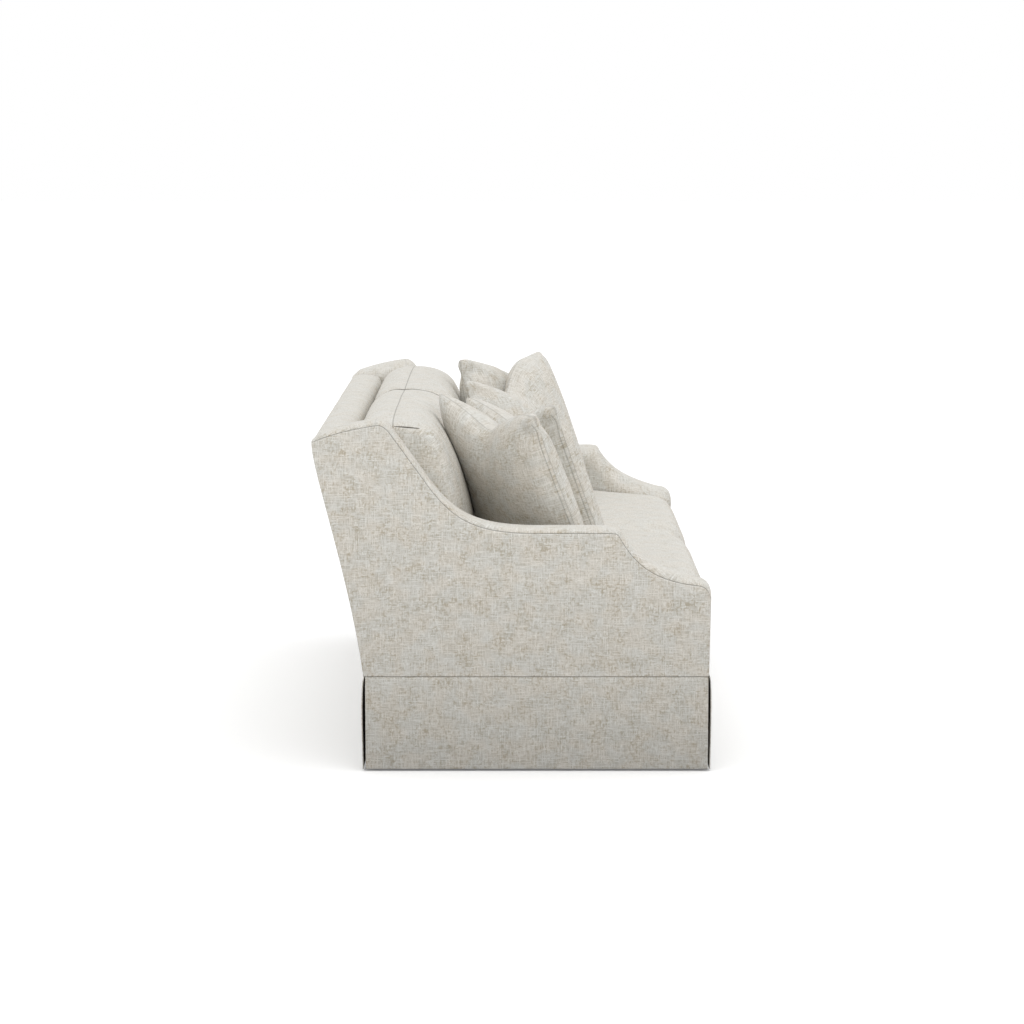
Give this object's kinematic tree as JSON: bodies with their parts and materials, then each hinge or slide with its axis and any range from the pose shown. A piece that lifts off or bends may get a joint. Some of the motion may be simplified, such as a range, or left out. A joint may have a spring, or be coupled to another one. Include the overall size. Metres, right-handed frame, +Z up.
{
  "type": "skirted sofa",
  "caption": "Skirted sofa with scoop arms rising to low wings, a straight back, loose seat and back cushions and square pillows.",
  "frame": {"origin": "on the floor under the middle of the sofa", "axes": "+X along the sofa's length, -Y out of its front, +Z up"},
  "size_m": [2.18, 1.0542, 0.9642],
  "materials": {
    "linen": "matte",
    "lining": "matte",
    "black_cloth": "matte",
    "wadding": "matte",
    "foam": "matte",
    "jute": "matte",
    "beech": "satin",
    "plywood": "matte",
    "dark_wood": "satin",
    "spring_steel": "satin"
  },
  "bodies": {
    "frame": {"front_rail": "beech", "back_rail": "beech", "seat_stretcher": "beech", "back_centre_post": "beech", "back_top_rail": "beech", "front_post_left": "beech", "front_post_right": "beech", "back_post_left": "beech", "back_post_right": "beech", "corner_block_front_left": "beech", "corner_block_front_right": "beech", "corner_block_rear_left": "beech", "corner_block_rear_right": "beech", "arm_outer_board_left": "plywood", "arm_outer_board_right": "plywood", "arm_inner_board_left": "plywood", "arm_inner_board_right": "plywood", "leg_front_left": "dark_wood", "leg_front_right": "dark_wood", "leg_rear_left": "dark_wood", "leg_rear_right": "dark_wood", "leg_centre": "dark_wood", "seat_spring_unit_left": "spring_steel", "seat_spring_unit_right": "spring_steel", "back_webbing": "jute", "deck_pad": "wadding", "inside_back_pad": "linen", "outside_back_panel": "linen", "front_border": "linen", "dust_cover": "black_cloth", "outside_arm_left": "linen", "outside_arm_right": "linen", "arm_strip_left": "linen", "arm_strip_right": "linen", "arm_pad_left": "linen", "arm_pad_right": "linen", "skirt_front": "linen", "skirt_back": "linen", "skirt_side_left": "linen", "skirt_side_right": "linen", "pleat_underlay_front_left": "lining", "pleat_underlay_front_right": "lining", "pleat_underlay_rear_left": "lining", "pleat_underlay_rear_right": "lining"},
    "seat_cushion_left": {"seat_cushion_left_cover": "linen", "seat_cushion_left_core": "foam"},
    "seat_cushion_right": {"seat_cushion_right_cover": "linen", "seat_cushion_right_core": "foam"},
    "back_cushion_left": {"back_cushion_left_cover": "linen", "back_cushion_left_insert": "wadding"},
    "back_cushion_right": {"back_cushion_right_cover": "linen", "back_cushion_right_insert": "wadding"},
    "pillow_rear_left": {"pillow_rear_left_cover": "linen", "pillow_rear_left_insert": "wadding"},
    "pillow_rear_right": {"pillow_rear_right_cover": "linen", "pillow_rear_right_insert": "wadding"},
    "pillow_front_left": {"pillow_front_left_cover": "linen", "pillow_front_left_insert": "wadding"},
    "pillow_front_right": {"pillow_front_right_cover": "linen", "pillow_front_right_insert": "wadding"}
  },
  "joints": [
    {"name": "seat_cushion_left_lift", "type": "slide", "parent": "frame", "child": "seat_cushion_left", "axis": [0, 0, 1], "range_m": [0, 0.62]},
    {"name": "seat_cushion_right_lift", "type": "slide", "parent": "frame", "child": "seat_cushion_right", "axis": [0, 0, 1], "range_m": [0, 0.62]},
    {"name": "back_cushion_left_lift", "type": "slide", "parent": "seat_cushion_left", "child": "back_cushion_left", "axis": [0, 0, 1], "range_m": [0, 0.45]},
    {"name": "back_cushion_right_lift", "type": "slide", "parent": "seat_cushion_right", "child": "back_cushion_right", "axis": [0, 0, 1], "range_m": [0, 0.45]},
    {"name": "pillow_rear_left_lift", "type": "slide", "parent": "back_cushion_left", "child": "pillow_rear_left", "axis": [0, -0.5, 0.866], "range_m": [0, 0.5]},
    {"name": "pillow_rear_right_lift", "type": "slide", "parent": "back_cushion_right", "child": "pillow_rear_right", "axis": [0, -0.5, 0.866], "range_m": [0, 0.5]},
    {"name": "pillow_front_left_lift", "type": "slide", "parent": "pillow_rear_left", "child": "pillow_front_left", "axis": [0, -0.5, 0.866], "range_m": [0, 0.5]},
    {"name": "pillow_front_right_lift", "type": "slide", "parent": "pillow_rear_right", "child": "pillow_front_right", "axis": [0, -0.5, 0.866], "range_m": [0, 0.5]}
  ]
}
